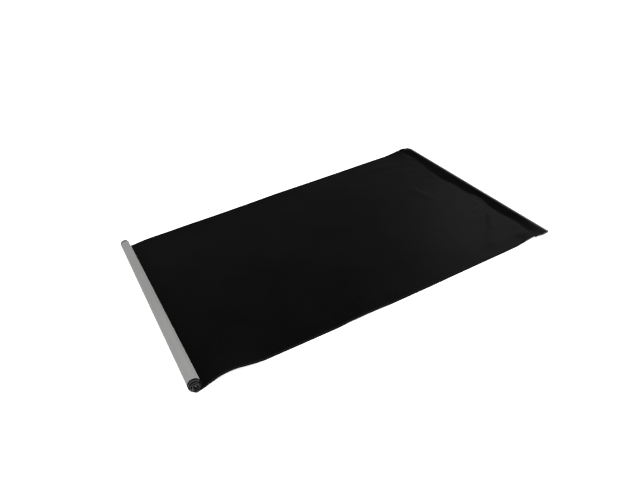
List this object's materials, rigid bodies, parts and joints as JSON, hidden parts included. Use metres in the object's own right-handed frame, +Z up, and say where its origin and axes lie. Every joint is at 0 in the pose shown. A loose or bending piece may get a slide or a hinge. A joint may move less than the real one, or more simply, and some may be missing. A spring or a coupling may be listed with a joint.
{
  "type": "roll-up tonneau cover",
  "caption": "Soft roll-up tonneau cover: black-faced, grey-backed sheet with a stiff bar in each end, lying flat with its tail end partly rolled up.",
  "frame": {"origin": "on the sheet's underside, midway between the roll's axis and the header bar's axis and midway across the cover", "axes": "+X from the rolled-up tail end towards the header bar, +Z up out of the black face, +Y across the cover to its left side"},
  "size_m": [2.1293, 1.48, 0.073],
  "materials": {
    "cover_face": "black vinyl-coated cloth, fine grain, satin",
    "cover_backing": "matte grey woven backing",
    "edge_binding": "black woven binding tape",
    "bar_aluminium": "mill finish",
    "latch_steel": "black oxide",
    "plug_nylon": "moulded dark grey nylon",
    "bush_steel": "turned, zinc plated",
    "pin_steel": "bright zinc plated",
    "knob_plastic": "moulded black plastic",
    "spring_steel": "drawn wire"
  },
  "bodies": {
    "cover": {"cover_sheet": "cover_face", "side_binding_right": "edge_binding", "side_binding_left": "edge_binding", "header_pocket": "cover_face", "header_bar": "bar_aluminium", "header_plug_right": "plug_nylon", "header_plug_left": "plug_nylon", "header_bush_right": "bush_steel", "header_bush_left": "bush_steel", "header_cross_pins": "pin_steel"},
    "lead": {"lead_sheet": "cover_face", "lead_binding_right": "edge_binding", "lead_binding_left": "edge_binding"},
    "roll": {"rolled_sheet": "cover_backing", "roll_binding_right": "edge_binding", "roll_binding_left": "edge_binding", "tail_pocket": "cover_face", "tail_bar": "bar_aluminium", "tail_plug_right": "plug_nylon", "tail_plug_left": "plug_nylon", "tail_cross_pins": "pin_steel", "latch_spring_right": "spring_steel", "latch_spring_left": "spring_steel", "spring_washer_right": "pin_steel", "spring_washer_left": "pin_steel"},
    "latch_right": {"latch_pin_right": "latch_steel", "latch_knob_right": "knob_plastic"},
    "latch_left": {"latch_pin_left": "latch_steel", "latch_knob_left": "knob_plastic"}
  },
  "joints": [
    {"name": "roll_travel", "type": "slide", "parent": "cover", "child": "lead", "axis": [1, 0, 0], "range_m": [0, 1.866], "deforming": ["cover_sheet", "side_binding_right", "side_binding_left"]},
    {"name": "roll_spin", "type": "hinge", "parent": "lead", "child": "roll", "pos_m": [-1.04, 0, 0.033], "axis": [0, 1, -0.0049], "range_deg": [0, 3240]},
    {"name": "latch_right_slide", "type": "slide", "parent": "roll", "child": "latch_right", "axis": [0, 1, -0.0049], "range_m": [0, 0.007], "stiffness_N_per_m": 600, "springref_m": -0.006, "deforming": ["latch_spring_right"]},
    {"name": "latch_left_slide", "type": "slide", "parent": "roll", "child": "latch_left", "axis": [0, -1, 0.0049], "range_m": [0, 0.007], "stiffness_N_per_m": 600, "springref_m": -0.006, "deforming": ["latch_spring_left"]}
  ],
  "couplings": [
    {"joint": "roll_spin", "follows": "roll_travel", "rad_per_m": 30.303}
  ]
}
